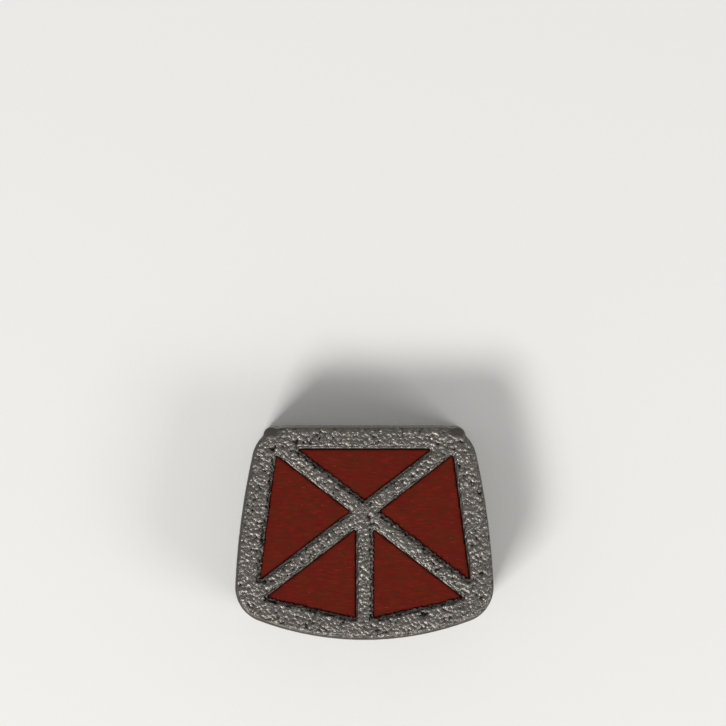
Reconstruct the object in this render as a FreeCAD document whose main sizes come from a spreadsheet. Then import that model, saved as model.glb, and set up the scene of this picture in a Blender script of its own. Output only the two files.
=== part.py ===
import FreeCAD, Part
import math
import os

import Sketcher
from FreeCAD import Vector

# Spinal interbody cage: one printed titanium frame and five bone graft plugs.
# Millimetres. +Z up from the flat lower face, +Y to the back, -Y to the front wall with the
# inserter hole. The origin is on the lower face, at the middle of the cage.

SIZES = {
    # plan outline of the frame, corners taken as sharp
    "cage_depth": 11.52,
    "back_width": 11.43,
    "front_width": 14.07,
    "side_radius": 40.5,
    "front_radius": 16.3,
    "back_corner": 1.87,
    "front_corner": 1.95,
    # side profile: level below, sloping down to the back above
    "back_height": 5.6,
    "front_height": 6.6,
    # walls, measured in from the straight line between the corners they join
    "back_wall": 1.19,
    "side_wall": 1.09,
    "front_wall": 1.035,
    # webs: two diagonals that cross, and one from the crossing to the front wall
    "web_width": 0.92,
    "crossing_setback": 4.58,
    # round pillars that stand proud of the two back corners
    "pillar_radius": 0.46,
    "pillar_inset": 0.68,
    "pillar_blend": 0.1,
    # edges: rolled over outside, bevelled round the windows
    "outer_round": 0.32,
    "window_bevel": 0.18,
    "window_corner": 0.07,
    # inserter hole in the front wall, M3 coarse before tapping
    "bore_radius": 1.25,
    "bore_depth": 2.4,
    "drill_tip": 118.0,
    "mouth_chamfer": 0.2,
    "spot_radius": 1.75,
    "spot_depth": 0.2,
    "boss_wall": 0.75,
    "boss_floor": 0.5,
    # graft plugs
    "graft_recess": 0.28,
    "graft_gap": 0.02,
}

# How far a cutting profile runs past the faces it cuts.
CUT_MARGIN = 1.0

doc = FreeCAD.newDocument("spinal_cage")
sheet = doc.addObject("Spreadsheet::Sheet", "sizes")
for row, (alias, number) in enumerate(SIZES.items(), start=1):
    sheet.set(f"A{row}", str(number))
    sheet.setAlias(f"A{row}", alias)
doc.recompute()

# Places that several sketches share, as expressions over the sheet.
BACK = "sizes.cage_depth / 2"
FRONT = "-sizes.cage_depth / 2"
FRONT_HALF = "sizes.front_width / 2"
BACK_HALF = "sizes.back_width / 2"
CORNER_RISE = "(sizes.front_radius - sqrt(sizes.front_radius ^ 2 - (sizes.front_width / 2) ^ 2))"
FRONT_CORNER_Y = f"{FRONT} + {CORNER_RISE}"
BORE_HEIGHT = "sizes.front_height / 2"
BORE_END = (
    "sizes.spot_depth + sizes.bore_depth"
    " + sizes.bore_radius / tan(sizes.drill_tip / 2)"
)
BOSS_RADIUS = "sizes.bore_radius + sizes.boss_wall"
BLANK_HEIGHT = "sizes.front_height + sizes.back_height"

# Corner points of the plan as (x, y); None is on that axis.
BACK_LEFT = (f"-{BACK_HALF}", BACK)
BACK_RIGHT = (BACK_HALF, BACK)
FRONT_LEFT = (f"-{FRONT_HALF}", FRONT_CORNER_Y)
FRONT_RIGHT = (FRONT_HALF, FRONT_CORNER_Y)
FRONT_MIDDLE = (None, FRONT)
CROSSING = (None, f"{BACK} - sizes.crossing_setback")

# Centres of the pillars, which touch the plane of the back wall.
PILLAR_X = f"({BACK_HALF} - sizes.pillar_inset)"
PILLAR_Y = f"{BACK} - sizes.pillar_radius"
PILLARS = {"left": (f"-{PILLAR_X}", PILLAR_Y), "right": (PILLAR_X, PILLAR_Y)}

# The straight lines that walls and webs follow, each with its half width or wall.
BACK_WALL = (BACK_LEFT, BACK_RIGHT, "sizes.back_wall")
LEFT_WALL = (BACK_LEFT, FRONT_LEFT, "sizes.side_wall")
RIGHT_WALL = (BACK_RIGHT, FRONT_RIGHT, "sizes.side_wall")
LEFT_FRONT_WALL = (FRONT_MIDDLE, FRONT_LEFT, "sizes.front_wall")
RIGHT_FRONT_WALL = (FRONT_MIDDLE, FRONT_RIGHT, "sizes.front_wall")
LEFT_DIAGONAL = (CROSSING, FRONT_LEFT, "sizes.web_width / 2")
RIGHT_DIAGONAL = (CROSSING, FRONT_RIGHT, "sizes.web_width / 2")
MEDIAN_WEB = (CROSSING, FRONT_MIDDLE, "sizes.web_width / 2")

# Each window lies between three of those lines.
WINDOWS = {
    "posterior": (BACK_WALL, LEFT_DIAGONAL, RIGHT_DIAGONAL),
    "left": (LEFT_WALL, LEFT_DIAGONAL, RIGHT_DIAGONAL),
    "right": (RIGHT_WALL, LEFT_DIAGONAL, RIGHT_DIAGONAL),
    "anterior_left": (LEFT_FRONT_WALL, LEFT_DIAGONAL, MEDIAN_WEB),
    "anterior_right": (RIGHT_FRONT_WALL, RIGHT_DIAGONAL, MEDIAN_WEB),
}


def number_of(expression):
    """Value of an expression over the sheet; an axis place (None) is zero."""
    if expression is None:
        return 0.0
    result = sheet.evalExpression(expression)
    return float(getattr(result, "Value", result))


def point_of(place):
    """Point of the plan that a pair of expressions stands for."""
    return Vector(number_of(place[0]), number_of(place[1]), 0)


def new_body(label):
    """Body with the label that names its file."""
    body = doc.addObject("PartDesign::Body", label)
    body.Label = label
    return body


def new_sketch(body, name, role, lift=None):
    """Sketch on one of the body's own origin planes, lifted along its normal."""
    sketch = body.newObject("Sketcher::SketchObject", name)
    plane = next(item for item in body.Origin.OriginFeatures if item.Role == role)
    sketch.AttachmentSupport = [(plane, "")]
    sketch.MapMode = "FlatFace"
    if lift:
        sketch.setExpression("AttachmentOffset.Base.z", lift)
    return sketch


def bind(sketch, constraint, expression):
    """Add a constraint and bind its value to an expression."""
    index = sketch.addConstraint(constraint)
    sketch.setExpression(f"Constraints[{index}]", expression)


def place(sketch, geometry, end, spot):
    """Hold one end of a sketch line at a pair of expressions, or on an axis for None."""
    if spot[0] is None:
        sketch.addConstraint(Sketcher.Constraint("PointOnObject", geometry, end, -2))
    else:
        value = number_of(spot[0])
        bind(sketch, Sketcher.Constraint("DistanceX", -1, 1, geometry, end, value), spot[0])
    if spot[1] is None:
        sketch.addConstraint(Sketcher.Constraint("PointOnObject", geometry, end, -1))
    else:
        value = number_of(spot[1])
        bind(sketch, Sketcher.Constraint("DistanceY", -1, 1, geometry, end, value), spot[1])


def minor_arc(start, end, radius):
    """Arc from start to end, anticlockwise, with its centre on the left of the way there."""
    chord = end - start
    inward = Vector(-chord.y, chord.x, 0).normalize()
    depth = math.sqrt(radius ** 2 - (chord.Length / 2) ** 2)
    centre = (start + end) / 2 + inward * depth
    first = math.atan2(start.y - centre.y, start.x - centre.x)
    last = math.atan2(end.y - centre.y, end.x - centre.x)
    return Part.ArcOfCircle(Part.Circle(centre, Vector(0, 0, 1), radius), first, last)


def closed_polygon(sketch, spots):
    """Closed loop of straight lines through pairs of expressions."""
    points = [point_of(spot) for spot in spots]
    lines = []
    for start, end in zip(points, points[1:] + points[:1]):
        lines.append(sketch.addGeometry(Part.LineSegment(start, end)))
    for line, following, spot in zip(lines, lines[1:] + lines[:1], spots[1:] + spots[:1]):
        sketch.addConstraint(Sketcher.Constraint("Coincident", line, 2, following, 1))
        place(sketch, following, 1, spot)


def circle_at(sketch, spot, radius):
    """Circle with its centre at a pair of expressions."""
    size = number_of(radius)
    circle = sketch.addGeometry(Part.Circle(point_of(spot), Vector(0, 0, 1), size))
    bind(sketch, Sketcher.Constraint("Radius", circle, size), radius)
    place(sketch, circle, 3, spot)


def add_pad(body, sketch, name, length):
    """Solid raised from a sketch, along its normal."""
    pad = body.newObject("PartDesign::Pad", name)
    pad.Profile = sketch
    pad.setExpression("Length", length)
    doc.recompute()
    return pad


def add_cut(body, sketch, name, both_ways=False, reverse=False):
    """Pocket through everything on one side of a sketch, or on both, that must remove material."""
    before = body.Shape.Volume
    cut = body.newObject("PartDesign::Pocket", name)
    cut.Profile = sketch
    cut.Type = "ThroughAll"
    cut.Midplane = both_ways
    cut.Reversed = reverse
    doc.recompute()
    if not cut.Shape.Volume < before:
        raise RuntimeError(f"{name} removes nothing")
    return cut


def add_round(body, name, edges, radius):
    """Fillet on named edges of the body's last feature."""
    base = body.Tip
    fillet = body.newObject("PartDesign::Fillet", name)
    fillet.Base = (base, edges)
    fillet.setExpression("Radius", radius)
    doc.recompute()
    return fillet


def add_bevel(body, name, edges, size):
    """Even chamfer on named edges of the body's last feature."""
    base = body.Tip
    bevel = body.newObject("PartDesign::Chamfer", name)
    bevel.Base = (base, edges)
    bevel.setExpression("Size", size)
    doc.recompute()
    return bevel


def upright_edges(shape, wanted):
    """Names of the vertical edges whose foot point passes the test."""
    names = []
    for index, edge in enumerate(shape.Edges, start=1):
        ends = [vertex.Point for vertex in edge.Vertexes]
        if len(ends) == 2 and (ends[0] - ends[1]).cross(Vector(0, 0, 1)).Length < 1e-6:
            if wanted(ends[0]):
                names.append(f"Edge{index}")
    return names


def at_window_corner(foot):
    """Whether a foot point is a corner of a window."""
    flat = Vector(foot.x, foot.y, 0)
    return any((flat - corner).Length < 1e-4 for name in WINDOWS for corner in window_corners(name, "0"))


def on_pillar(foot):
    """Whether a foot point lies on the round wall of a pillar."""
    flat = Vector(foot.x, foot.y, 0)
    radius = number_of("sizes.pillar_radius")
    return any(abs((flat - point_of(spot)).Length - radius) < 1e-4 for spot in PILLARS.values())


def wire_edges(shape, wires):
    """Names of the edges of a shape that belong to some of its wires."""
    return [
        f"Edge{index}"
        for index, edge in enumerate(shape.Edges, start=1)
        if any(edge.isSame(other) for wire in wires for other in wire.Edges)
    ]


def end_faces(shape):
    """Lower level face and upper sloping face of a solid."""
    flats = [face for face in shape.Faces if isinstance(face.Surface, Part.Plane)]
    lower = min(flats, key=lambda face: face.normalAt(0, 0).z)
    upper = max(flats, key=lambda face: face.normalAt(0, 0).z)
    return [lower, upper]


def draw_outline(sketch):
    """Plan outline: straight back, bowed sides that widen to the front, bowed front."""
    back_right, back_left = point_of(BACK_RIGHT), point_of(BACK_LEFT)
    front_right, front_left = point_of(FRONT_RIGHT), point_of(FRONT_LEFT)
    side_radius = number_of("sizes.side_radius")
    front_radius = number_of("sizes.front_radius")
    back = sketch.addGeometry(Part.LineSegment(back_right, back_left))
    left = sketch.addGeometry(minor_arc(back_left, front_left, side_radius))
    front = sketch.addGeometry(minor_arc(front_left, front_right, front_radius))
    right = sketch.addGeometry(minor_arc(front_right, back_right, side_radius))
    loop = [back, left, front, right]
    for edge, following in zip(loop, loop[1:] + loop[:1]):
        sketch.addConstraint(Sketcher.Constraint("Coincident", edge, 2, following, 1))
    place(sketch, back, 1, BACK_RIGHT)
    place(sketch, back, 2, BACK_LEFT)
    place(sketch, front, 1, FRONT_LEFT)
    place(sketch, front, 2, FRONT_RIGHT)
    bind(sketch, Sketcher.Constraint("Radius", left, side_radius), "sizes.side_radius")
    bind(sketch, Sketcher.Constraint("Radius", front, front_radius), "sizes.front_radius")
    bind(sketch, Sketcher.Constraint("Radius", right, side_radius), "sizes.side_radius")


def shifted_line(line, inside, gap):
    """Point and direction of a wall or web line moved to its face, towards a point inside."""
    start, end = point_of(line[0]), point_of(line[1])
    along = (end - start).normalize()
    normal = Vector(-along.y, along.x, 0)
    if normal.dot(inside - start) < 0:
        normal = -normal
    return start + normal * (number_of(line[2]) + number_of(gap)), along


def meeting_point(one, other):
    """Point where two lines, each a point and a direction, cross."""
    (first, along), (second, across) = one, other
    share = (second - first).cross(across).z / along.cross(across).z
    return first + along * share


def inside_of(name):
    """A point well inside a window, which tells the sides of its three lines apart."""
    crossing = point_of(CROSSING)
    wall = WINDOWS[name][0]
    return crossing + ((point_of(wall[0]) + point_of(wall[1])) / 2 - crossing) * 0.6


def window_corners(name, gap):
    """The three corners of a window, drawn in by a gap all round."""
    faces = [shifted_line(line, inside_of(name), gap) for line in WINDOWS[name]]
    return [meeting_point(face, faces[index - 1]) for index, face in enumerate(faces)]


def draw_window(sketch, name, gap):
    """Three-sided loop of a window, drawn in by a gap all round."""
    corners = window_corners(name, gap)
    edges = []
    for start, end in zip(corners, corners[1:] + corners[:1]):
        edges.append(sketch.addGeometry(Part.LineSegment(start, end)))
    for edge, following in zip(edges, edges[1:] + edges[:1]):
        sketch.addConstraint(Sketcher.Constraint("Coincident", edge, 2, following, 1))
    for edge, (start, end, half) in zip(edges, WINDOWS[name]):
        guide = sketch.addGeometry(Part.LineSegment(point_of(start), point_of(end)), True)
        place(sketch, guide, 1, start)
        place(sketch, guide, 2, end)
        sketch.addConstraint(Sketcher.Constraint("Parallel", edge, guide))
        face = f"{half} + {gap}"
        bind(sketch, Sketcher.Constraint("Distance", guide, 1, edge, number_of(face)), face)


def cut_top(body, name, drop):
    """Cut the top to its slope from front to back, lowered by a drop."""
    sketch = new_sketch(body, f"{name}_sketch", "YZ_Plane")
    front = (FRONT, f"sizes.front_height - {drop}")
    back = (BACK, f"sizes.back_height - {drop}")
    front_lid = (f"{FRONT} - {CUT_MARGIN}", f"{BLANK_HEIGHT} + {CUT_MARGIN}")
    back_lid = (f"{BACK} + {CUT_MARGIN}", f"{BLANK_HEIGHT} + {CUT_MARGIN}")
    rise = (point_of(back) - point_of(front)) * (CUT_MARGIN / number_of("sizes.cage_depth"))
    slope = sketch.addGeometry(Part.LineSegment(point_of(back) + rise, point_of(front) - rise))
    front_side = sketch.addGeometry(Part.LineSegment(point_of(front) - rise, point_of(front_lid)))
    lid = sketch.addGeometry(Part.LineSegment(point_of(front_lid), point_of(back_lid)))
    back_side = sketch.addGeometry(Part.LineSegment(point_of(back_lid), point_of(back) + rise))
    loop = [slope, front_side, lid, back_side]
    for edge, following in zip(loop, loop[1:] + loop[:1]):
        sketch.addConstraint(Sketcher.Constraint("Coincident", edge, 2, following, 1))
    for spot in (front, back):
        mark = sketch.addGeometry(Part.Point(point_of(spot)), True)
        place(sketch, mark, 1, spot)
        sketch.addConstraint(Sketcher.Constraint("PointOnObject", mark, 1, slope))
    place(sketch, lid, 1, front_lid)
    place(sketch, lid, 2, back_lid)
    sketch.addConstraint(Sketcher.Constraint("Vertical", front_side))
    sketch.addConstraint(Sketcher.Constraint("Vertical", back_side))
    return add_cut(body, sketch, name, both_ways=True)


def make_frame():
    """Printed frame: ring, crossing webs, corner pillars and the threaded inserter boss."""
    body = new_body("cage_frame")

    outline = new_sketch(body, "outline", "XY_Plane")
    draw_outline(outline)
    blank = add_pad(body, outline, "blank", BLANK_HEIGHT)
    back_edges = upright_edges(blank.Shape, lambda foot: foot.y > 0)
    add_round(body, "back_corners", back_edges, "sizes.back_corner")
    front_edges = upright_edges(
        body.Tip.Shape, lambda foot: foot.y < 0 and abs(foot.x) > number_of(BACK_HALF)
    )
    add_round(body, "front_corners", front_edges, "sizes.front_corner")

    for side, spot in PILLARS.items():
        pillar = new_sketch(body, f"{side}_pillar_sketch", "XY_Plane")
        circle_at(pillar, spot, "sizes.pillar_radius")
        add_pad(body, pillar, f"{side}_pillar", BLANK_HEIGHT)
    feet = upright_edges(body.Shape, on_pillar)
    add_round(body, "pillar_feet", feet, "sizes.pillar_blend")

    cut_top(body, "top_slope", "0")
    lower, upper = end_faces(body.Shape)
    rim = wire_edges(body.Shape, [lower.OuterWire, upper.OuterWire])
    add_round(body, "outer_rims", rim, "sizes.outer_round")

    for name in WINDOWS:
        window = new_sketch(body, f"{name}_window_sketch", "XY_Plane")
        draw_window(window, name, "0")
        add_cut(body, window, f"{name}_window", both_ways=True)
    corners = upright_edges(body.Tip.Shape, at_window_corner)
    add_round(body, "window_corners", corners, "sizes.window_corner")
    inner = []
    for face in end_faces(body.Tip.Shape):
        inner += [wire for wire in face.Wires if not wire.isSame(face.OuterWire)]
    add_bevel(body, "window_rims", wire_edges(body.Tip.Shape, inner), "sizes.window_bevel")

    boss = new_sketch(body, "boss_sketch", "XZ_Plane", f"-({FRONT} + {BORE_END} + sizes.boss_floor)")
    circle_at(boss, (None, BORE_HEIGHT), BOSS_RADIUS)
    add_pad(body, boss, "boss", f"{BORE_END} + sizes.boss_floor - sizes.front_wall / 2")

    bore = new_sketch(body, "bore_sketch", "YZ_Plane")
    bore.setExpression("AttachmentOffset.Base.y", BORE_HEIGHT)
    face_y = f"{FRONT} + sizes.spot_depth"
    closed_polygon(bore, [
        (f"{FRONT} - {CUT_MARGIN}", None),
        (f"{FRONT} - {CUT_MARGIN}", "sizes.spot_radius"),
        (face_y, "sizes.spot_radius"),
        (face_y, "sizes.bore_radius + sizes.mouth_chamfer"),
        (f"{face_y} + sizes.mouth_chamfer", "sizes.bore_radius"),
        (f"{face_y} + sizes.bore_depth", "sizes.bore_radius"),
        (f"{FRONT} + {BORE_END}", None),
    ])
    before = body.Shape.Volume
    groove = body.newObject("PartDesign::Groove", "bore")
    groove.Profile = bore
    groove.ReferenceAxis = (bore, ["H_Axis"])
    groove.Angle = 360
    doc.recompute()
    if not groove.Shape.Volume < before:
        raise RuntimeError("bore removes nothing")
    return body


def make_graft(name):
    """Packed bone graft in one window, a little below both faces of the frame."""
    body = new_body(f"graft_{name}")
    plan = new_sketch(body, f"graft_{name}_plan", "XY_Plane", "sizes.graft_recess")
    draw_window(plan, name, "sizes.graft_gap")
    add_pad(body, plan, f"graft_{name}_pad", BLANK_HEIGHT)
    corners = upright_edges(body.Tip.Shape, lambda foot: True)
    add_round(body, f"graft_{name}_corners", corners, "sizes.window_corner - sizes.graft_gap")
    cut_top(body, f"graft_{name}_slope", "sizes.graft_recess")
    if MEDIAN_WEB in WINDOWS[name]:
        end = f"-({FRONT} + {BORE_END} + sizes.boss_floor + sizes.graft_gap)"
        relief = new_sketch(body, f"graft_{name}_relief_sketch", "XZ_Plane", end)
        circle_at(relief, (None, BORE_HEIGHT), f"{BOSS_RADIUS} + sizes.graft_gap")
        add_cut(body, relief, f"graft_{name}_relief", reverse=True)
    return body


parts = [make_frame()]
for window_name in WINDOWS:
    parts.append(make_graft(window_name))
doc.recompute()

for item in doc.Objects:
    if "Invalid" in item.State or "Error" in item.State:
        raise RuntimeError(f"{item.Name} failed: {item.State}")
for part in parts:
    if part.Shape.isNull() or not part.Shape.isValid() or len(part.Shape.Solids) != 1:
        raise RuntimeError(f"{part.Label} is not one sound solid")

os.makedirs("parts", exist_ok=True)
for part in parts:
    part.Shape.exportStep(f"parts/{part.Label}.step")
    box = part.Shape.optimalBoundingBox(False)
    print(f"{part.Label}: {part.Shape.Volume:.2f} mm3, x {box.XMin:.3f} {box.XMax:.3f},"
          f" y {box.YMin:.3f} {box.YMax:.3f}, z {box.ZMin:.3f} {box.ZMax:.3f}")
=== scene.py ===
"""Looks of a printed titanium spinal interbody cage packed with bone graft.

The frame is laser-melted titanium whose two faces are left rough for bone to grip, its five
windows hold packed graft, and its front wall has a machined and tapped hole for an inserter.
Sizes named with a trailing _mm are millimetres; meshes are in metres, in the frame's own axes.
How level a surface is, its level, runs from 0 on an upright wall to 1 on a level face.
"""

from __future__ import annotations

import logging
import math
from dataclasses import dataclass
from enum import Enum
from functools import cached_property
from typing import NamedTuple

import bmesh
import bpy
import numpy as np
from mathutils import Matrix, Vector, noise
from mathutils.bvhtree import BVHTree


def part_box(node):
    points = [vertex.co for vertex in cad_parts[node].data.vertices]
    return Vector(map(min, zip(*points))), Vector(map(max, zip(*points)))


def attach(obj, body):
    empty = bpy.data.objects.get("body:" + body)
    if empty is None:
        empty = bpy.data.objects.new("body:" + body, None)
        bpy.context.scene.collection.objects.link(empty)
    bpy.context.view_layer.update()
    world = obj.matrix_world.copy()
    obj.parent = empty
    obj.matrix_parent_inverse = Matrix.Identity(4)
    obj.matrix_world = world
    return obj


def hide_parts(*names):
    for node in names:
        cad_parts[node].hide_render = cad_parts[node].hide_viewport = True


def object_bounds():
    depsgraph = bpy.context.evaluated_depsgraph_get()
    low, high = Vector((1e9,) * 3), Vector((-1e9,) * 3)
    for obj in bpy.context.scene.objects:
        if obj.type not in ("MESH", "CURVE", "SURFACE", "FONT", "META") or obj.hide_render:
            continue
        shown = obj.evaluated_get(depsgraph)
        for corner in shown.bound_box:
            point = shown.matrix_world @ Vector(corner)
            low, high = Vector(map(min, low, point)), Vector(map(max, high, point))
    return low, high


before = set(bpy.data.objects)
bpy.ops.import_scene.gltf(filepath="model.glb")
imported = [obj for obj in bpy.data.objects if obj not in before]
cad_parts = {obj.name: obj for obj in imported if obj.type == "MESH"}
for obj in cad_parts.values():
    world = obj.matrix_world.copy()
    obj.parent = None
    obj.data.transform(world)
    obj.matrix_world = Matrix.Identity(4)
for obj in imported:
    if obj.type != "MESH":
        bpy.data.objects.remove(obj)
CAD_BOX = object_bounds()

# Where a value starts to count and where it counts in full; the start may be the higher one.
Range = tuple[float, float]

log = logging.getLogger("cage")
MM = 0.001
BODY = "root"
# Vertex attributes that the printed finish reads. The relief is lowered on the ragged edges, which
# paints shade there through the pit colour.
RELIEF_AND_EDGE_SHADE = "relief"
ROUGH = "roughcast"
# Without a seed of its own, Blender shifts its noise vectors by the clock.
NOISE_SEED = 3
# The sockets of a Mix node share their names, so they are picked by index.
FACTOR, NUMBER_A, NUMBER_B, COLOUR_A, COLOUR_B = 0, 2, 3, 6, 7
MIXED_NUMBER, MIXED_COLOUR = 0, 2
# Distance from crest to crest of a wave texture whose scale is 1.
WAVE_PERIOD = 0.314
# Two vertices of the solids' meshes that lie nearer than this are one.
WELD_MM = 0.0005
# Shifts that keep the noise fields apart, in cells.
FRAY_SHIFT, OVERHANG_SHIFT, RIDGE_SHIFT, SWELL_SHIFT = 3.0, 9.0, 31.0, 7.0


class Slot(Enum):
    """Material slots of the record."""

    TITANIUM = "printed_titanium"
    GRAFT = "bone_graft"


def linear(colour: str) -> tuple[float, float, float, float]:
    """Turn an sRGB hex colour into linear RGBA.

    Args:
        colour: Six hex digits after a hash sign.

    Returns:
        Red, green, blue and an alpha of 1.
    """
    channels = []
    for start in (1, 3, 5):
        value = int(colour[start:start + 2], 16) / 255
        channels.append(value / 12.92 if value <= 0.04045 else ((value + 0.055) / 1.055) ** 2.4)
    return (channels[0], channels[1], channels[2], 1.0)


def smooth_step(low: float, high: float, value: np.ndarray) -> np.ndarray:
    """Rise from 0 at low to 1 at high with level ends.

    Args:
        low: Value that gives 0; it may be above high.
        high: Value that gives 1.
        value: Values to map.

    Returns:
        The mapped values.
    """
    share = np.clip((value - low) / (high - low), 0.0, 1.0)
    return share * share * (3 - 2 * share)


def soft_limit(value: np.ndarray) -> np.ndarray:
    """Bend values from 0 upwards so that they level off at 1."""
    return 1 - np.exp(-value * (1 + 0.5 * value))


def noise_at(places: np.ndarray) -> np.ndarray:
    """Evaluate a smooth noise, about -1 to 1, at rows of x, y and z in its cells."""
    return np.array([noise.noise(Vector(place)) for place in places])


def add_node(
    tree: bpy.types.NodeTree,
    kind: str,
    inputs: dict[str | int, object] | None = None,
    **settings: object,
) -> bpy.types.Node:
    """Add a node with its settings, its input values and its links.

    Args:
        tree: Node tree that gets the node.
        kind: Node type, such as ShaderNodeBump.
        inputs: Value of each input by name or index; an output socket is linked.
        **settings: Properties of the node itself.

    Returns:
        The new node.
    """
    made = tree.nodes.new(kind)
    for name, value in settings.items():
        setattr(made, name, value)
    for name, value in (inputs or {}).items():
        if isinstance(value, bpy.types.NodeSocket):
            tree.links.new(value, made.inputs[name])
        else:
            made.inputs[name].default_value = value
    return made


def ramp(
    tree: bpy.types.NodeTree, factor: bpy.types.NodeSocket, stops: dict[float, str]
) -> bpy.types.NodeSocket:
    """Add a colour ramp.

    Args:
        tree: Node tree that gets the ramp.
        factor: Socket that drives it.
        stops: sRGB hex colour at each place from 0 to 1.

    Returns:
        The ramp's colour output.
    """
    made = add_node(tree, "ShaderNodeValToRGB", {"Fac": factor})
    places = list(stops.items())
    elements = made.color_ramp.elements
    while len(elements) < len(places):
        elements.new(0.5)
    for element, (place, colour) in zip(elements, places):
        element.position = place
        element.color = linear(colour)
    return made.outputs["Color"]


def new_material(name: str) -> tuple[bpy.types.Material, bpy.types.NodeTree, bpy.types.Node]:
    """Make a node material with one principled shader.

    Args:
        name: Name of the material.

    Returns:
        The material, its node tree and the shader.
    """
    material = bpy.data.materials.new(name)
    material.use_nodes = True
    return material, material.node_tree, material.node_tree.nodes["Principled BSDF"]


@dataclass(frozen=True)
class LaserMeltedTitanium:
    """Titanium alloy powder melted by laser, left as printed.

    Half-melted grains stand on it; its pits carry painted shade and its crests a painted highlight.
    The rolled edges are calmer and darkened by painted shade, and the walls are calm and carry the
    printer's layers.
    """

    base: str = "#7C7872"
    # The pit colour is painted shade, and the crest colour a painted highlight.
    pit_painted_shade: str = "#211F1E"
    crest_painted_highlight: str = "#98948C"
    # The edge colour is painted shade, a darker tone for the calm rolled edges.
    edge: str = "#64605B"
    wall: str = "#77736E"
    roughness: float = 0.38
    wall_roughness: float = 0.5
    # Heights of the relief, from 0 in its pits to 1 on its crests, at which the tones change.
    pit_until: float = 0.08
    base_from: float = 0.36
    base_until: float = 0.75
    crest_from: float = 0.95
    grain_mm: float = 0.15
    grain_bump: float = 0.8
    # The printer's layers are 0.03 mm; they are drawn three times as coarse, so that they show.
    layer_mm: float = 0.09
    layer_bump: float = 0.2
    bump_mm: float = 0.06

    def material(self) -> bpy.types.Material:
        """Build the material.

        Returns:
            The finished material.
        """
        made, tree, shader = new_material("laser_melted_titanium")
        place = add_node(tree, "ShaderNodeTexCoord").outputs["Object"]
        relief = add_node(tree, "ShaderNodeAttribute", attribute_name=RELIEF_AND_EDGE_SHADE).outputs["Fac"]
        rough = add_node(tree, "ShaderNodeAttribute", attribute_name=ROUGH).outputs["Fac"]
        grain = add_node(tree, "ShaderNodeTexNoise", {
            "Vector": place, "Scale": 1 / (self.grain_mm * MM), "Detail": 1.0,
            "Roughness": 0.5, "Distortion": 0.6,
        }).outputs["Fac"]
        # Base tone, with painted shade in the pits and a painted highlight on the crests.
        rough_tone_and_painted_light = ramp(tree, relief, {
            self.pit_until: self.pit_painted_shade, self.base_from: self.base,
            self.base_until: self.base, self.crest_from: self.crest_painted_highlight,
        })
        upright = add_node(tree, "ShaderNodeMapRange", {
            "Value": rough, "From Min": 0.0, "From Max": -1.0,
        }).outputs["Result"]
        # Calm places that are not outer walls get the edge colour's painted shade; the outer walls
        # keep their own tone.
        calm_tone_and_edge_shade = add_node(tree, "ShaderNodeMix", {
            FACTOR: upright, COLOUR_A: linear(self.edge), COLOUR_B: linear(self.wall),
        }, data_type="RGBA").outputs[MIXED_COLOUR]
        colour = add_node(tree, "ShaderNodeMix", {
            FACTOR: rough, COLOUR_A: calm_tone_and_edge_shade, COLOUR_B: rough_tone_and_painted_light,
        }, data_type="RGBA").outputs[MIXED_COLOUR]
        layers = add_node(tree, "ShaderNodeTexWave", {
            "Vector": place, "Scale": WAVE_PERIOD / (self.layer_mm * MM), "Distortion": 1.4,
            "Detail": 2.0, "Detail Scale": 1.5,
        }, wave_type="BANDS", bands_direction="Z").outputs["Fac"]
        height = add_node(tree, "ShaderNodeMix", {
            FACTOR: rough, NUMBER_A: layers, NUMBER_B: grain,
        }, data_type="FLOAT").outputs[MIXED_NUMBER]
        strength = add_node(tree, "ShaderNodeMapRange", {
            "Value": rough, "To Min": self.layer_bump, "To Max": self.grain_bump,
        }).outputs["Result"]
        roughness = add_node(tree, "ShaderNodeMapRange", {
            "Value": rough, "To Min": self.wall_roughness, "To Max": self.roughness,
        }).outputs["Result"]
        bump = add_node(tree, "ShaderNodeBump", {
            "Height": height, "Strength": strength, "Distance": self.bump_mm * MM,
        })
        tree.links.new(colour, shader.inputs["Base Color"])
        tree.links.new(bump.outputs["Normal"], shader.inputs["Normal"])
        tree.links.new(roughness, shader.inputs["Roughness"])
        shader.inputs["Metallic"].default_value = 1.0
        return made


@dataclass(frozen=True)
class TurnedTitanium:
    """Titanium alloy cut on a machine after printing, bright with fine rings from the tool."""

    axis_height_mm: float
    base: str = "#BDB9B2"
    roughness: float = 0.24
    # Feed marks are 0.02 mm apart; they are drawn three times as coarse, so that they show.
    feed_mm: float = 0.06
    bump: float = 0.15
    bump_mm: float = 0.01

    def material(self) -> bpy.types.Material:
        """Build the material.

        Returns:
            The finished material.
        """
        made, tree, shader = new_material("turned_titanium")
        place = add_node(tree, "ShaderNodeTexCoord").outputs["Object"]
        centred = add_node(tree, "ShaderNodeVectorMath", {
            0: place, 1: (0.0, 0.0, self.axis_height_mm * MM),
        }, operation="SUBTRACT").outputs["Vector"]
        rings = add_node(tree, "ShaderNodeTexWave", {
            "Vector": centred, "Scale": WAVE_PERIOD / (self.feed_mm * MM), "Distortion": 0.6,
            "Detail": 1.0,
        }, wave_type="RINGS", rings_direction="Y").outputs["Fac"]
        bump = add_node(tree, "ShaderNodeBump", {
            "Height": rings, "Strength": self.bump, "Distance": self.bump_mm * MM,
        })
        tree.links.new(bump.outputs["Normal"], shader.inputs["Normal"])
        shader.inputs["Base Color"].default_value = linear(self.base)
        shader.inputs["Metallic"].default_value = 1.0
        shader.inputs["Roughness"].default_value = self.roughness
        return made


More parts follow.
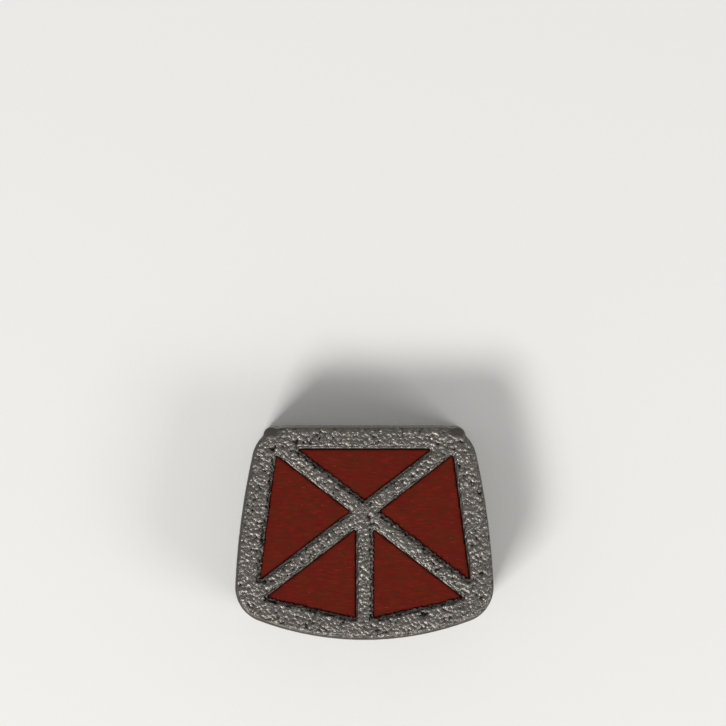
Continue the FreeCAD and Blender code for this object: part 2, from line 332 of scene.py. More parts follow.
@dataclass(frozen=True)
class PackedGraft:
    """Bone chips and marrow pressed flat: a dull dark red with brown streaks and pale flecks."""

    base: str = "#64170F"
    brown: str = "#621D0D"
    streak: str = "#46240F"
    bright: str = "#7C2012"
    fleck: str = "#8A3B2B"
    roughness: float = 0.7
    # Weaker than a bare surface's, since the chips scatter the gloss away.
    specular: float = 0.08
    streak_length_mm: float = 0.46
    streak_width_mm: float = 0.12
    fleck_mm: float = 0.45
    blotch_mm: float = 0.7
    # Values of the noise over which a tone comes in.
    brown_noise: Range = (0.4, 0.6)
    streak_noise: Range = (0.45, 0.3)
    bright_noise: Range = (0.55, 0.79)
    # Share of the fleck cells that stay bare, and how a fleck fades from its middle.
    bare_cells: float = 0.8
    fleck_fade: Range = (0.06, 0.22)
    bump: float = 0.25
    bump_mm: float = 0.02

    def material(self) -> bpy.types.Material:
        """Build the material.

        Returns:
            The finished material.
        """
        made, tree, shader = new_material("packed_graft")
        place = add_node(tree, "ShaderNodeTexCoord").outputs["Object"]
        stretched = add_node(tree, "ShaderNodeMapping", {
            "Vector": place,
            "Scale": (
                1 / (self.streak_length_mm * MM),
                1 / (self.streak_width_mm * MM),
                1 / (self.streak_width_mm * MM),
            ),
        }).outputs["Vector"]
        streaks = add_node(tree, "ShaderNodeTexNoise", {
            "Vector": stretched, "Scale": 1.0, "Detail": 2.0, "Roughness": 0.6,
        }).outputs["Fac"]
        blotches = add_node(tree, "ShaderNodeTexNoise", {
            "Vector": place, "Scale": 1 / (self.blotch_mm * MM), "Detail": 2.0,
        }).outputs["Fac"]
        base_until, brown_from = self.brown_noise
        ground = ramp(tree, blotches, {base_until: self.base, brown_from: self.brown})
        dark = add_node(tree, "ShaderNodeMapRange", {
            "Value": streaks, "From Min": self.streak_noise[0], "From Max": self.streak_noise[1],
        }).outputs["Result"]
        light = add_node(tree, "ShaderNodeMapRange", {
            "Value": streaks, "From Min": self.bright_noise[0], "From Max": self.bright_noise[1],
        }).outputs["Result"]
        streaked = add_node(tree, "ShaderNodeMix", {
            FACTOR: dark, COLOUR_A: ground, COLOUR_B: linear(self.streak),
        }, data_type="RGBA").outputs[MIXED_COLOUR]
        colour = add_node(tree, "ShaderNodeMix", {
            FACTOR: light, COLOUR_A: streaked, COLOUR_B: linear(self.bright),
        }, data_type="RGBA").outputs[MIXED_COLOUR]
        flecks = add_node(tree, "ShaderNodeTexVoronoi", {
            "Vector": stretched, "Scale": self.streak_length_mm / self.fleck_mm,
        })
        chosen = add_node(tree, "ShaderNodeMath", {
            0: flecks.outputs["Color"], 1: self.bare_cells,
        }, operation="GREATER_THAN").outputs[0]
        near = add_node(tree, "ShaderNodeMapRange", {
            "Value": flecks.outputs["Distance"],
            "From Min": self.fleck_fade[0], "From Max": self.fleck_fade[1],
            "To Min": chosen, "To Max": 0.0,
        }).outputs["Result"]
        mixed = add_node(tree, "ShaderNodeMix", {
            FACTOR: near, COLOUR_A: colour, COLOUR_B: linear(self.fleck),
        }, data_type="RGBA").outputs[MIXED_COLOUR]
        bump = add_node(tree, "ShaderNodeBump", {
            "Height": streaks, "Strength": self.bump, "Distance": self.bump_mm * MM,
        })
        tree.links.new(mixed, shader.inputs["Base Color"])
        tree.links.new(bump.outputs["Normal"], shader.inputs["Normal"])
        shader.inputs["Roughness"].default_value = self.roughness
        shader.inputs["Specular IOR Level"].default_value = self.specular
        return made


@dataclass(frozen=True)
class StudioPaper:
    """Matt white paper rolled out under the object, pale and without gloss."""

    base: str = "#F4F3F0"
    roughness: float = 0.95
    fibre_mm: float = 0.2
    bump: float = 0.05
    bump_mm: float = 0.01

    def material(self) -> bpy.types.Material:
        """Build the material.

        Returns:
            The finished material.
        """
        made, tree, shader = new_material("studio_paper")
        place = add_node(tree, "ShaderNodeTexCoord").outputs["Object"]
        fibres = add_node(tree, "ShaderNodeTexNoise", {
            "Vector": place, "Scale": 1 / (self.fibre_mm * MM), "Detail": 2.0,
        }).outputs["Fac"]
        bump = add_node(tree, "ShaderNodeBump", {
            "Height": fibres, "Strength": self.bump, "Distance": self.bump_mm * MM,
        })
        tree.links.new(bump.outputs["Normal"], shader.inputs["Normal"])
        shader.inputs["Base Color"].default_value = linear(self.base)
        shader.inputs["Roughness"].default_value = self.roughness
        shader.inputs["Specular IOR Level"].default_value = 0.0
        return made


def mesh_object(name: str, shell: bmesh.types.BMesh) -> bpy.types.Object:
    """Put a mesh into the scene, and free the editing mesh that it comes from.

    Args:
        name: Name of the object and its mesh.
        shell: Editing mesh in the frame's axes.

    Returns:
        The new object.
    """
    mesh = bpy.data.meshes.new(name)
    shell.to_mesh(mesh)
    shell.free()
    made = bpy.data.objects.new(name, mesh)
    bpy.context.scene.collection.objects.link(made)
    return made


def welded_copy(node: str, name: str) -> bpy.types.Object:
    """Copy a node's mesh as a closed mesh, with the seams of its normals welded.

    Args:
        node: Name of the node.
        name: Name of the new object.

    Returns:
        The new object.
    """
    shell = bmesh.new()
    shell.from_mesh(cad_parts[node].data)
    bmesh.ops.remove_doubles(shell, verts=shell.verts, dist=WELD_MM * MM)
    return mesh_object(name, shell)


def dress(piece: bpy.types.Object, material: bpy.types.Material) -> None:
    """Shade a piece smooth and give it one material.

    Args:
        piece: Mesh object.
        material: The only material that it keeps.
    """
    piece.data.shade_smooth()
    piece.data.materials.clear()
    piece.data.materials.append(material)


def bake_modifiers(piece: bpy.types.Object) -> None:
    """Replace a piece's mesh by what its modifiers make of it, and drop them.

    Args:
        piece: Mesh object.
    """
    graph = bpy.context.evaluated_depsgraph_get()
    mesh = bpy.data.meshes.new_from_object(piece.evaluated_get(graph))
    piece.modifiers.clear()
    piece.data = mesh


def remesh(piece: bpy.types.Object, pitch: float) -> None:
    """Cover a piece with even quads.

    Args:
        piece: Closed mesh object.
        pitch: Side of a quad, in metres.
    """
    modifier = piece.modifiers.new("even_quads", "REMESH")
    modifier.mode = "VOXEL"
    modifier.voxel_size = pitch
    bake_modifiers(piece)


def thin_out(piece: bpy.types.Object, hidden: np.ndarray, keep: float) -> None:
    """Merge faces where nothing can be seen.

    Args:
        piece: Mesh object.
        hidden: Whether each vertex may go.
        keep: Share of the hidden vertices that stays.
    """
    group = piece.vertex_groups.new(name="hidden")
    group.add([int(index) for index in np.nonzero(hidden)[0]], 1.0, "REPLACE")
    modifier = piece.modifiers.new("thin_out", "DECIMATE")
    modifier.vertex_group = group.name
    # Strong enough that what can be seen keeps its faces.
    modifier.vertex_group_factor = 10.0
    modifier.ratio = 1 - float(np.mean(hidden)) * (1 - keep)
    bake_modifiers(piece)
    piece.vertex_groups.clear()


def limit_faces(piece: bpy.types.Object, most: int) -> None:
    """Merge the flattest faces until few enough are left.

    Args:
        piece: Mesh object.
        most: Number of triangles that may stay.
    """
    count = sum(len(face.vertices) - 2 for face in piece.data.polygons)
    modifier = piece.modifiers.new("limit_faces", "DECIMATE")
    modifier.ratio = min(1.0, most / count)
    bake_modifiers(piece)


def vertex_vectors(mesh: bpy.types.Mesh, name: str) -> np.ndarray:
    """Read one vector per vertex.

    Args:
        mesh: Mesh to read.
        name: Name that Blender gives the vector.

    Returns:
        Rows of x, y and z.
    """
    flat = np.empty(len(mesh.vertices) * 3, np.float32)
    mesh.vertices.foreach_get(name, flat)
    return flat.reshape(-1, 3).astype(float)


def positions(mesh: bpy.types.Mesh) -> np.ndarray:
    """Read the vertices' places as rows of x, y and z."""
    return vertex_vectors(mesh, "co")


def normals(mesh: bpy.types.Mesh) -> np.ndarray:
    """Read the vertices' normals as rows of x, y and z."""
    return vertex_vectors(mesh, "normal")


def set_positions(mesh: bpy.types.Mesh, places: np.ndarray) -> None:
    """Move all vertices of a mesh to new places."""
    mesh.vertices.foreach_set("co", places.astype(np.float32).ravel())
    mesh.update()


def set_attribute(mesh: bpy.types.Mesh, name: str, values: np.ndarray) -> None:
    """Store one number per vertex under a name that a material reads."""
    attribute = mesh.attributes.new(name, "FLOAT", "POINT")
    attribute.data.foreach_set("value", values.astype(np.float32))


def surface_of(nodes: list[str]) -> BVHTree:
    """Make a search tree over the surfaces of some nodes.

    Args:
        nodes: Names of the nodes.

    Returns:
        The tree.
    """
    points, faces = [], []
    for name in nodes:
        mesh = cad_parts[name].data
        start = len(points)
        points += [vertex.co.copy() for vertex in mesh.vertices]
        faces += [[start + index for index in face.vertices] for face in mesh.polygons]
    return BVHTree.FromPolygons(points, faces)


@dataclass(frozen=True)
class MeltedGrain:
    """Half-melted powder grains: beads that are creased like crumpled foil."""

    # Depth from the highest grain to the lowest pit on the rough faces, and on the walls.
    face_relief_mm: float = 0.086
    wall_relief_mm: float = 0.01
    # Grains are longer along X by this factor, and the warp bends their pattern.
    stretch: float = 1.15
    warp_mm: float = 0.06
    bead_mm: float = 0.21
    crease_mm: float = 0.25
    ridge_mm: float = 0.2
    swell_mm: float = 0.5
    # How fast each pattern changes away from its point or line.
    bead_fall: float = 1.6
    seam_rise: float = 5.0
    crease_rise: float = 3.0
    ridge_rise: float = 2.4
    # Weights of the patterns in the height; the ridges' is taken off.
    bead_weight: float = 0.36
    seam_weight: float = 0.28
    crease_weight: float = 0.36
    ridge_weight: float = 0.18
    swell_weight: float = 0.13
    # Percentiles of the height that become the pits and the crests.
    limits: Range = (1.0, 99.5)

    def relief(self, in_mm: np.ndarray) -> np.ndarray:
        """Shape the grains.

        Args:
            in_mm: Rows of x, y and z in millimetres.

        Returns:
            Heights from 0 in the pits to 1 on the crests.
        """
        flat = in_mm / np.array([self.stretch, 1.0, 1.0])
        warp = np.array([noise.noise_vector(Vector(p)) for p in flat / self.swell_mm])
        bent = flat + warp * self.warp_mm
        near = np.array([noise.voronoi(Vector(p))[0][:2] for p in bent / self.bead_mm])
        bead = 1 - self.bead_fall * near[:, 0] ** 2
        seam = soft_limit((near[:, 1] - near[:, 0]) * self.seam_rise)
        crease = soft_limit(np.abs(noise_at(bent / self.crease_mm)) * self.crease_rise)
        ridges = np.abs(noise_at(bent / self.ridge_mm + RIDGE_SHIFT))
        ridge = soft_limit(ridges * self.ridge_rise)
        swell = noise_at(bent / self.swell_mm + SWELL_SHIFT)
        height = (
            self.bead_weight * bead + self.seam_weight * seam + self.crease_weight * crease
            - self.ridge_weight * ridge + self.swell_weight * swell
        )
        low, high = np.percentile(height, self.limits)
        return np.clip((height - low) / (high - low), 0.0, 1.0)


@dataclass(frozen=True)
class PillarKnob:
    """Smooth end of each back pillar, which leans back and has a groove at its foot.

    Distances from a knob's middle are counted in its own half widths.
    """

    middle_mm: tuple[float, float] = (5.04, 5.47)
    half_width_mm: tuple[float, float] = (0.42, 0.34)
    drop_mm: float = 0.1
    groove_mm: float = 0.04
    groove_place: float = 1.05
    groove_width: float = 0.18
    # Distances over which the grain comes back and the knob's own shape ends, and the levels
    # over which that shape comes in.
    grain: Range = (0.85, 1.2)
    reach: Range = (2.0, 1.3)
    level: Range = (0.4, 0.9)

    def shape(self, in_mm: np.ndarray, level: np.ndarray) -> tuple[np.ndarray, np.ndarray]:
        """Shape both pillars' ends, on both faces.

        Args:
            in_mm: Rows of x, y and z in millimetres.
            level: How level the surface is at each place.

        Returns:
            Share of the grain that is left, from 0 on a knob to 1 away from it, and how deep
            the knob and its groove lie under the face, in millimetres.
        """
        across = (np.abs(in_mm[:, 0]) - self.middle_mm[0]) / self.half_width_mm[0]
        along = (in_mm[:, 1] - self.middle_mm[1]) / self.half_width_mm[1]
        distance = np.hypot(across, along)
        lean = self.drop_mm * np.clip((1 + along) / 2, 0.0, 1.0) * (distance < 1.0)
        groove = self.groove_mm * np.exp(-((distance - self.groove_place) / self.groove_width) ** 2)
        near = smooth_step(*self.reach, distance) * smooth_step(*self.level, level)
        return smooth_step(*self.grain, distance), np.maximum(lean, groove) * near


@dataclass(frozen=True)
class SkinEdge:
    """Where the rough skin of the two faces ends, at the rim and at the windows.

    As in the photo, the rim stays ragged on the right, and a window's edge where it faces
    right or back. The other edges come out smoother.
    """

    # Ragged edges have deeper relief, and painted shade that darkens their skin, by these shares.
    gain: float = 0.2
    painted_shade: float = 0.55
    # Beside a window, up to bevel_mm from a graft plug, the skin starts at this level. Facing
    # right and back lowers it, and facing away from there raises it as far as the limit lets.
    bevel_mm: float = 0.26
    bevel_start: float = 0.52
    bevel_ragged: float = 0.34
    bevel_limit: float = -0.2
    # At the rim it starts at this level. Facing right and back lowers it, and facing front
    # raises it on the left and lowers it on the right, by the gain and within the limits.
    rim_start: float = 0.74
    rim_right: float = 0.32
    rim_back: float = 0.16
    rim_front: float = 0.1
    rim_left_gain: float = 3.0
    rim_left_limits: Range = (-0.6, 1.0)
    # Levels from the start to the full skin, and the noise that frays the start.
    fade: float = 0.24
    fray: float = 0.16
    fray_mm: float = 0.2
    # An edge turns ragged over a range of the two parts of its direction, right and back,
    # added up. On it, the raggedness fades to the face and to the wall over these levels.
    ragged_side: Range = (0.1, 0.6)
    face_level: Range = (0.99, 0.85)
    wall_level: Range = (0.3, 0.6)
    # Over ragged windows' edges, grains of a noise hang out over the graft. They fade with the
    # distance from the plug, with the depth under the face and towards the level face.
    overhang_mm: float = 0.07
    overhang_size_mm: float = 0.15
    overhang_noise: Range = (-0.1, 0.4)
    overhang_level: Range = (0.97, 0.8)
    overhang_gap_mm: Range = (0.2, 0.1)
    overhang_depth_mm: float = 0.42
    overhang_full: float = 0.7

    def coverage(
        self, in_mm: np.ndarray, outward: np.ndarray, bevel: np.ndarray
    ) -> tuple[np.ndarray, np.ndarray, np.ndarray]:
        """Measure how far the rough skin reaches over each place.

        Args:
            in_mm: Rows of x, y and z in millimetres.
            outward: Unit normals.
            bevel: Whether each place is beside a window.

        Returns:
            Cover from 0 on the smooth walls to 1 on the rough faces, how ragged an edge of a
            window is, and how far it faces the ragged way, each from 0 to 1.
        """
        level = np.abs(outward[:, 2])
        flat = np.maximum(np.hypot(outward[:, 0], outward[:, 1]), 1e-6)
        right, back = outward[:, 0] / flat, outward[:, 1] / flat
        fray = self.fray * noise_at(in_mm / self.fray_mm + FRAY_SHIFT)
        start = fray + np.where(
            bevel,
            self.bevel_start - self.bevel_ragged * np.clip(right + back, self.bevel_limit, 1.0),
            self.rim_start
            - self.rim_right * np.clip(right, 0.0, 1.0)
            - self.rim_back * np.clip(back, 0.0, 1.0)
            + self.rim_front * np.clip(-back, 0.0, 1.0)
            * np.clip(-self.rim_left_gain * right, *self.rim_left_limits),
        )
        cover = smooth_step(0.0, self.fade, level - start)
        facing = smooth_step(*self.ragged_side, right + back)
        tilt = smooth_step(*self.face_level, level) * smooth_step(*self.wall_level, level)
        return cover, bevel * facing * tilt, facing

    def overhang(
        self, in_mm: np.ndarray, level: np.ndarray, facing: np.ndarray, gaps: np.ndarray,
        below: np.ndarray,
    ) -> np.ndarray:
        """Hang grains over the windows' ragged edges.

        Args:
            in_mm: Rows of x, y and z in millimetres.
            level: How level the surface is at each place.
            facing: How far each place faces the ragged way, from 0 to 1.
            gaps: Millimetres to the nearest graft plug, seen from above.
            below: Millimetres under the nearer rough face.

        Returns:
            Millimetres by which each place moves out.
        """
        grains = smooth_step(
            *self.overhang_noise, noise_at(in_mm / self.overhang_size_mm + OVERHANG_SHIFT)
        )
        steep = smooth_step(*self.overhang_level, level)
        steep *= smooth_step(*self.overhang_gap_mm, gaps)
        full = self.overhang_full * self.overhang_depth_mm
        out = self.overhang_mm * facing * grains * steep
        return out * smooth_step(self.overhang_depth_mm, full, below)


@dataclass
class PrintedFrame:
    """The printed frame: rough on the two faces that meet bone, calmer on walls and edges."""

    node: str
    grafts: list[str]
    grain: MeltedGrain = MeltedGrain()
    knob: PillarKnob = PillarKnob()
    edge: SkinEdge = SkinEdge()
    pitch_mm: float = 0.05
    triangles: int = 190_000
    # The windows' walls are found up to this far from a graft plug.
    window_reach_mm: float = 0.6
    # Levels over which an edge turns into an outer wall.
    wall_level: Range = (0.35, 0.1)
    # A wall this near to a graft plug's side can't be seen below the recess.
    hidden_gap_mm: float = 0.06
    hidden_level: float = 0.3
    seen_depth_mm: float = 0.45
    keep_hidden: float = 0.04

    def build(self, finish: LaserMeltedTitanium, hole: TappedHole) -> bpy.types.Object:
        """Build and dress the frame.

        Args:
            finish: Finish of the printed surface.
            hole: The machined hole, whose room is cut out first.

        Returns:
            The piece.
        """
        piece = welded_copy(self.node, "printed_frame")
        hole.cut_room(piece)
        remesh(piece, self.pitch_mm * MM)
        thin_out(piece, self.hidden(positions(piece.data)), self.keep_hidden)
        self.roughen(piece.data)
        limit_faces(piece, self.triangles)
        dress(piece, finish.material())
        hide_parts(self.node)
        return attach(piece, BODY)

    def hidden(self, places: np.ndarray) -> np.ndarray:
        """Mark the vertices of window walls that the graft hides.

        Args:
            places: Rows of x, y and z.

        Returns:
            Whether each one is hidden.
        """
        grafts = surface_of(self.grafts)
        reach, depth = self.hidden_gap_mm * MM, self.seen_depth_mm * MM
        low = places[:, 2] < depth
        high = places[:, 2] > self.top_height(places) - depth
        marks = np.zeros(len(places), bool)
        for index in np.nonzero(~(low | high))[0]:
            found = grafts.find_nearest(Vector(places[index]), reach)
            marks[index] = found[0] is not None and abs(found[1].z) < self.hidden_level
        return marks

    def top_height(self, places: np.ndarray) -> np.ndarray:
        """Work out the height of the sloping top over each place.

        Args:
            places: Rows of x, y and z.

        Returns:
            One height per row, in metres.
        """
        heights = [(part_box(name)[0].y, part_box(name)[1].z) for name in self.grafts]
        front, back = min(heights), max(heights)
        slope = (back[1] - front[1]) / (back[0] - front[0])
        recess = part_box(self.grafts[0])[0].z
        return front[1] + recess + slope * (places[:, 1] - front[0])

    def roughen(self, mesh: bpy.types.Mesh) -> None:
        """Press the grain and the knobs into the mesh, and store what the finish reads.

        Only the grains that hang over a window's ragged edge stand out from the solid.

        Args:
            mesh: The frame's mesh.
        """
        places, outward = positions(mesh), normals(mesh)
        in_mm, level = places / MM, np.abs(outward[:, 2])
        below = np.minimum(places[:, 2], self.top_height(places) - places[:, 2]) / MM
        gaps = self.from_windows(places, below < self.edge.overhang_depth_mm)
        cover, ragged, facing = self.edge.coverage(in_mm, outward, gaps < self.edge.bevel_mm)
        grain_left, knob = self.knob.shape(in_mm, level)
        rough = cover * grain_left
        relief = self.grain.relief(in_mm)
        wall, face = self.grain.wall_relief_mm, self.grain.face_relief_mm
        depth = (wall + (face - wall) * rough) * (1 + self.edge.gain * ragged)
        drop = np.maximum(depth * (1 - relief), knob)
        drop -= self.edge.overhang(in_mm, level, facing, gaps, below)
        set_positions(mesh, places - outward * (drop * MM)[:, None])
        outer_wall = smooth_step(*self.wall_level, level) * (gaps >= self.window_reach_mm)
        # The stored relief is lowered on ragged edges that face right and back, so the pit colour
        # paints shade along them.
        set_attribute(mesh, RELIEF_AND_EDGE_SHADE, relief * (1 - self.edge.painted_shade * ragged))
        set_attribute(mesh, ROUGH, rough - outer_wall)

    def from_windows(self, places: np.ndarray, wanted: np.ndarray) -> np.ndarray:
        """Measure how far places lie from the nearest graft plug, seen from above.

        Args:
            places: Rows of x, y and z.
            wanted: Whether each place is measured.

        Returns:
            Millimetres; the reach where the plug is further or the place isn't wanted.
        """
        grafts = surface_of(self.grafts)
        gaps = np.full(len(places), self.window_reach_mm)
        for index in np.nonzero(wanted)[0]:
            place = Vector(places[index])
            found = grafts.find_nearest(place, self.window_reach_mm * MM)[0]
            if found is not None:
                gaps[index] = (found - place).xy.length / MM
        return gaps


class Ring(NamedTuple):
    """One ring of the machined insert, from the section that is turned round its axis."""

    along_mm: float
    radius_mm: float
    # Whether the place along Y is measured in from the bowed front wall.
    on_wall: bool = False


@dataclass
class TappedHole:
    """Machined face, hole and M3 coarse thread in the front wall."""

    node: str
    spot_radius_mm: float = 1.75
    spot_depth_mm: float = 0.2
    # The frame's front wall is bowed by this radius; the insert's lip lies just under it.
    front_radius_mm: float = 16.3
    lip_mm: float = 0.07
    lip_depth_mm: float = 0.004
    lip_bevel_mm: float = 0.015
    # Rings of the machined face, as shares of the way from the mouth to its rim.
    face_rings: tuple[float, ...] = (1.0, 0.66, 0.33, 0.0)
    mouth_chamfer_mm: float = 0.2
    bore_radius_mm: float = 1.25
    bore_depth_mm: float = 2.4
    # Half of the drill's point angle of 118 degrees.
    tip_half_angle: float = math.radians(59)
    thread_pitch_mm: float = 0.5
    thread_depth_mm: float = 0.24
    # Shares of half a pitch that the thread's flat crest and its flank take up.
    crest_share: float = 0.12
    flank_share: float = 0.76
    # The thread runs out over this share of a pitch. It starts this far before the mouth's
    # inner edge, and is as deep as it gets after the lead-in.
    run_out: float = 0.8
    lead_start_mm: float = 0.1
    lead_in_mm: float = 0.25
    centre_height_mm: float = 3.3
    cone_steps: int = 6
    # The insert and the room for it overlap, so that no seam shows.
    overlap_mm: float = 0.04
    back_wall_mm: float = 0.18
    # The tool that cuts the room starts this far in front of the machined face.
    tool_start_mm: float = 1.0
    turns: int = 96
    steps_per_pitch: int = 14
    sharp_angle: float = math.radians(35)

    @cached_property
    def front_mm(self) -> float:
        """Place of the machined face along Y."""
        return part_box(self.node)[0].y / MM + self.spot_depth_mm

    @cached_property
    def tip_mm(self) -> float:
        """Place of the drill's tip along Y."""
        cone = self.bore_radius_mm / math.tan(self.tip_half_angle)
        return self.front_mm + self.bore_depth_mm + cone

    def cut_room(self, piece: bpy.types.Object) -> None:
        """Cut the room for the machined insert out of the printed frame.

        Args:
            piece: The frame's closed mesh.
        """
        start = self.front_mm - self.tool_start_mm
        end = self.tip_mm + self.back_wall_mm - self.overlap_mm
        radius = (self.spot_radius_mm + self.lip_mm - self.overlap_mm) * MM
        tool = bmesh.new()
        bmesh.ops.create_cone(
            tool, cap_ends=True, segments=self.turns, radius1=radius, radius2=radius,
            depth=(end - start) * MM,
            matrix=Matrix.Translation((0, (start + end) / 2 * MM, self.centre_height_mm * MM))
            @ Matrix.Rotation(math.pi / 2, 4, "X"),
        )
        cutter = mesh_object("room", tool)
        modifier = piece.modifiers.new("room", "BOOLEAN")
        modifier.operation = "DIFFERENCE"
        modifier.solver = "EXACT"
        modifier.object = cutter
        bake_modifiers(piece)
        bpy.data.objects.remove(cutter)

    def section(self) -> list[Ring]:
        """Draw the insert's section from its hidden back, over its lip, to the drill's tip.

        Returns:
            The rings in order.
        """
        front, bore, spot = self.front_mm, self.bore_radius_mm, self.spot_radius_mm
        mouth = bore + self.mouth_chamfer_mm
        back = self.tip_mm + self.back_wall_mm
        rings = [
            Ring(back, 0.0),
            Ring(back, spot + self.lip_mm),
            Ring(self.lip_depth_mm, spot + self.lip_mm, on_wall=True),
            Ring(self.lip_depth_mm, spot + self.lip_bevel_mm, on_wall=True),
            Ring(self.lip_depth_mm + self.lip_bevel_mm, spot, on_wall=True),
        ]
        rings += [Ring(front, mouth + (spot - mouth) * share) for share in self.face_rings]
        steps = int(self.bore_depth_mm / self.thread_pitch_mm * self.steps_per_pitch)
        start, end = front + self.mouth_chamfer_mm, front + self.bore_depth_mm
        for step in range(steps + 1):
            rings.append(Ring(start + (end - start) * step / steps, bore))
        for step in range(1, self.cone_steps + 1):
            share = step / self.cone_steps
            rings.append(Ring(end + (self.tip_mm - end) * share, bore * (1 - share)))
        return rings

    def thread(self, along: float, turn: float) -> float:
        """Cut the thread's groove at a place of the bore.

        Args:
            along: Millimetres from the mouth's inner edge.
            turn: Angle round the axis as a share of a turn.

        Returns:
            Millimetres by which the wall lies further out than the bore.
        """
        phase = (along / self.thread_pitch_mm - turn) % 1.0
        flank = 1 - abs(2 * phase - 1)
        groove = min(1.0, max(0.0, (flank - self.crest_share) / self.flank_share))
        full = self.bore_depth_mm - self.mouth_chamfer_mm
        run_out = min(1.0, (full - along) / (self.run_out * self.thread_pitch_mm))
        lead_in = min(1.0, (along + self.lead_start_mm) / self.lead_in_mm)
        return self.thread_depth_mm * groove * max(0.0, run_out) * max(0.0, lead_in)

    def lay_ring(self, shell: bmesh.types.BMesh, ring: Ring) -> list[bmesh.types.BMVert]:
        """Add one ring's vertices, or the one vertex of a ring without a radius.

        Args:
            shell: Editing mesh that gets them.
            ring: The ring.

        Returns:
            The vertices in order round the axis.
        """
        inner_edge = self.front_mm + self.mouth_chamfer_mm
        front_wall = self.front_mm - self.spot_depth_mm
        row = []
        for turn in range(self.turns if ring.radius_mm > 0.0 else 1):
            share = turn / self.turns
            angle = 2 * math.pi * share
            reach, y = ring.radius_mm, ring.along_mm
            if reach == self.bore_radius_mm:
                reach += self.thread(y - inner_edge, share)
            x, z = reach * math.cos(angle), reach * math.sin(angle)
            if ring.on_wall:
                bow = self.front_radius_mm
                y += front_wall + bow - math.sqrt(bow ** 2 - x ** 2)
            row.append(shell.verts.new(Vector((x, y, self.centre_height_mm + z)) * MM))
        return row

    def build(self, finish: TurnedTitanium) -> bpy.types.Object:
        """Build and dress the machined insert.

        Args:
            finish: Finish of the machined surface.

        Returns:
            The piece.
        """
        shell = bmesh.new()
        rows = [self.lay_ring(shell, ring) for ring in self.section()]
        for one, two in zip(rows, rows[1:]):
            for turn in range(self.turns):
                after = (turn + 1) % self.turns
                if len(one) == 1:
                    shell.faces.new((one[0], two[after], two[turn]))
                elif len(two) == 1:
                    shell.faces.new((one[turn], one[after], two[0]))
                else:
                    shell.faces.new((one[turn], one[after], two[after], two[turn]))
        bmesh.ops.recalc_face_normals(shell, faces=shell.faces)
        piece = mesh_object("tapped_insert", shell)
        dress(piece, finish.material())
        piece.data.set_sharp_from_angle(angle=self.sharp_angle)
        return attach(piece, BODY)


@dataclass
class GraftPlug:
    """Packed bone graft in one window."""

    node: str
    pitch_mm: float = 0.085
    relief_mm: float = 0.035
    lump_mm: float = 0.55
    streak_mm: float = 0.12
    # Streaks are longer along X by this factor.
    streak_stretch: float = 3.2
    # Height without any pattern, and the weights of the two patterns in it.
    middle_height: float = 0.5
    lump_weight: float = 0.55
    streak_weight: float = 0.35
    # Levels over which the relief comes in.
    relief_level: Range = (0.3, 0.8)
    # A side has less than this share of the range from side to face. It is hidden.
    side_level: Range = (0.2, 0.5)
    side_share: float = 0.1
    keep_sides: float = 0.08

    def build(self, finish: bpy.types.Material) -> bpy.types.Object:
        """Build and dress the plug.

        Args:
            finish: Material of the graft.

        Returns:
            The piece.
        """
        piece = welded_copy(self.node, self.node.replace("graft", "packed_graft"))
        remesh(piece, self.pitch_mm * MM)
        level = np.abs(normals(piece.data)[:, 2])
        thin_out(piece, smooth_step(*self.side_level, level) < self.side_share, self.keep_sides)
        places, outward = positions(piece.data), normals(piece.data)
        in_mm, level = places / MM, np.abs(outward[:, 2])
        lumps = noise_at(in_mm / self.lump_mm)
        streaks = noise_at(in_mm / np.array([self.streak_stretch, 1.0, 1.0]) / self.streak_mm)
        height = self.middle_height + self.lump_weight * lumps + self.streak_weight * streaks
        drop = self.relief_mm * MM * (1 - np.clip(height, 0.0, 1.0))
        drop *= smooth_step(*self.relief_level, level)
        set_positions(piece.data, places - outward * drop[:, None])
        dress(piece, finish)
        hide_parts(self.node)
        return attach(piece, BODY)


@dataclass(frozen=True)
class SoftLamp:
    """Square studio lamp that faces the cage."""

    name: str
    place_mm: tuple[float, float, float]
    side_mm: float
    watts: float

    def hang(self) -> None:
        """Add the lamp to the scene."""
        data = bpy.data.lights.new(self.name, "AREA")
        data.shape, data.size, data.energy = "SQUARE", self.side_mm * MM, self.watts
        made = bpy.data.objects.new(self.name, data)
        made.location = Vector(self.place_mm) * MM
        made.rotation_euler = (-made.location).to_track_quat("-Z", "Y").to_euler()
        bpy.context.scene.collection.objects.link(made)


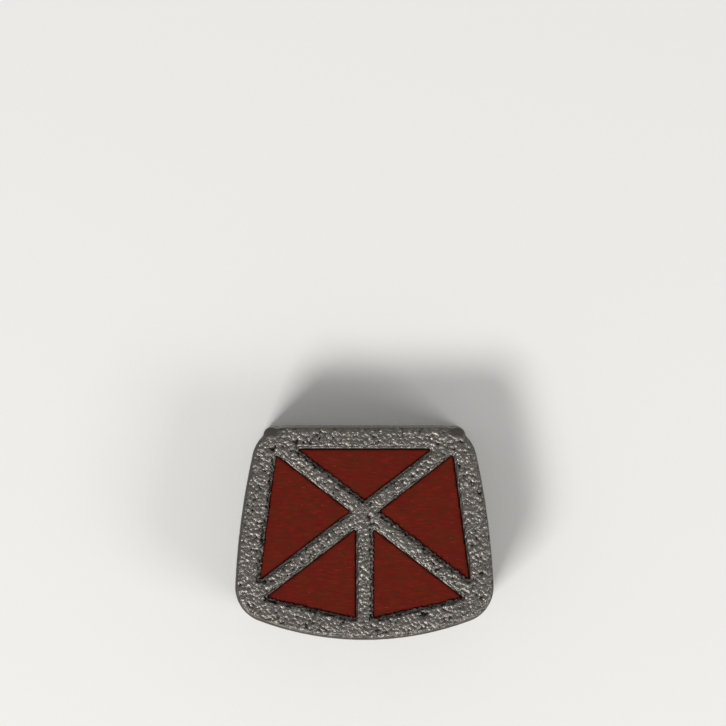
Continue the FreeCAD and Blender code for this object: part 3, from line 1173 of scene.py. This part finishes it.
@dataclass
class Studio:
    """Paper floor, soft lamps and the camera over the cage."""

    image_px: float = 726.0
    # Width of the cage in the photo and where its middle lies, in pixels from the left and top.
    cage_width_px: float = 258.8
    cage_middle_px: tuple[float, float] = (364.4, 533.5)
    lens_mm: float = 200.0
    sensor_mm: float = 36.0
    # Nearest and furthest that the camera sees, as multiples of its distance from the cage.
    clip: tuple[float, float] = (0.1, 20.0)
    # Height of the middle of the sloping top, as a share of its highest.
    middle_height: float = 0.93
    floor_mm: float = 4000.0
    # Strength of the world's light, and of the backdrop that the camera sees in its place.
    even_light: float = 0.38
    backdrop: float = 0.8
    lamps: tuple[SoftLamp, ...] = (
        SoftLamp("key", (-195, -270, 405), 165.0, 1.58),
        SoftLamp("fill", (330, -180, 315), 210.0, 0.54),
    )

    def build(self) -> None:
        """Add the floor, the world, the lamps and the camera."""
        self.lay_floor()
        self.light()
        for lamp in self.lamps:
            lamp.hang()
        self.aim()

    def lay_floor(self) -> None:
        """Lay the paper on which the cage stands."""
        sheet = bmesh.new()
        bmesh.ops.create_grid(sheet, x_segments=1, y_segments=1, size=self.floor_mm * MM / 2)
        floor = mesh_object("floor", sheet)
        floor.data.materials.append(StudioPaper().material())

    def light(self) -> None:
        """Set the world's even light."""
        world = bpy.data.worlds.new("studio")
        bpy.context.scene.world = world
        world.use_nodes = True
        tree = world.node_tree
        direct = add_node(tree, "ShaderNodeLightPath").outputs["Is Camera Ray"]
        strength = add_node(tree, "ShaderNodeMapRange", {
            "Value": direct, "To Min": self.even_light, "To Max": self.backdrop,
        }).outputs["Result"]
        tree.links.new(strength, tree.nodes["Background"].inputs["Strength"])
        tree.nodes["Background"].inputs["Color"].default_value = linear("#FFFFFF")

    def aim(self) -> None:
        """Set the camera straight over the middle of the photo's frame."""
        low, high = CAD_BOX
        scale = (high.x - low.x) / self.cage_width_px
        distance = self.image_px * scale * self.lens_mm / self.sensor_mm
        middle = self.image_px / 2
        data = bpy.data.cameras.new("camera")
        data.lens, data.sensor_width = self.lens_mm, self.sensor_mm
        data.clip_start, data.clip_end = distance * self.clip[0], distance * self.clip[1]
        made = bpy.data.objects.new("camera", data)
        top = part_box("cage_frame")[1].z
        made.location = (
            (middle - self.cage_middle_px[0]) * scale,
            (self.cage_middle_px[1] - middle) * scale,
            top * self.middle_height + distance,
        )
        bpy.context.scene.collection.objects.link(made)
        bpy.context.scene.camera = made


def main() -> None:
    """Build the cage's pieces and the studio."""
    logging.basicConfig(level=logging.INFO, format="%(name)s: %(message)s")
    noise.seed_set(NOISE_SEED)
    bpy.context.scene.view_settings.view_transform = "Standard"
    grafts = sorted(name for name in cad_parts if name.startswith("graft"))
    hole = TappedHole("cage_frame")
    pieces = [
        PrintedFrame("cage_frame", grafts).build(LaserMeltedTitanium(), hole),
        hole.build(TurnedTitanium(hole.centre_height_mm)),
    ]
    graft_finish = PackedGraft().material()
    pieces += [GraftPlug(name).build(graft_finish) for name in grafts]
    for piece in pieces:
        log.info("%s: %d faces", piece.name, len(piece.data.polygons))
    Studio().build()


if __name__ == "__main__":
    main()
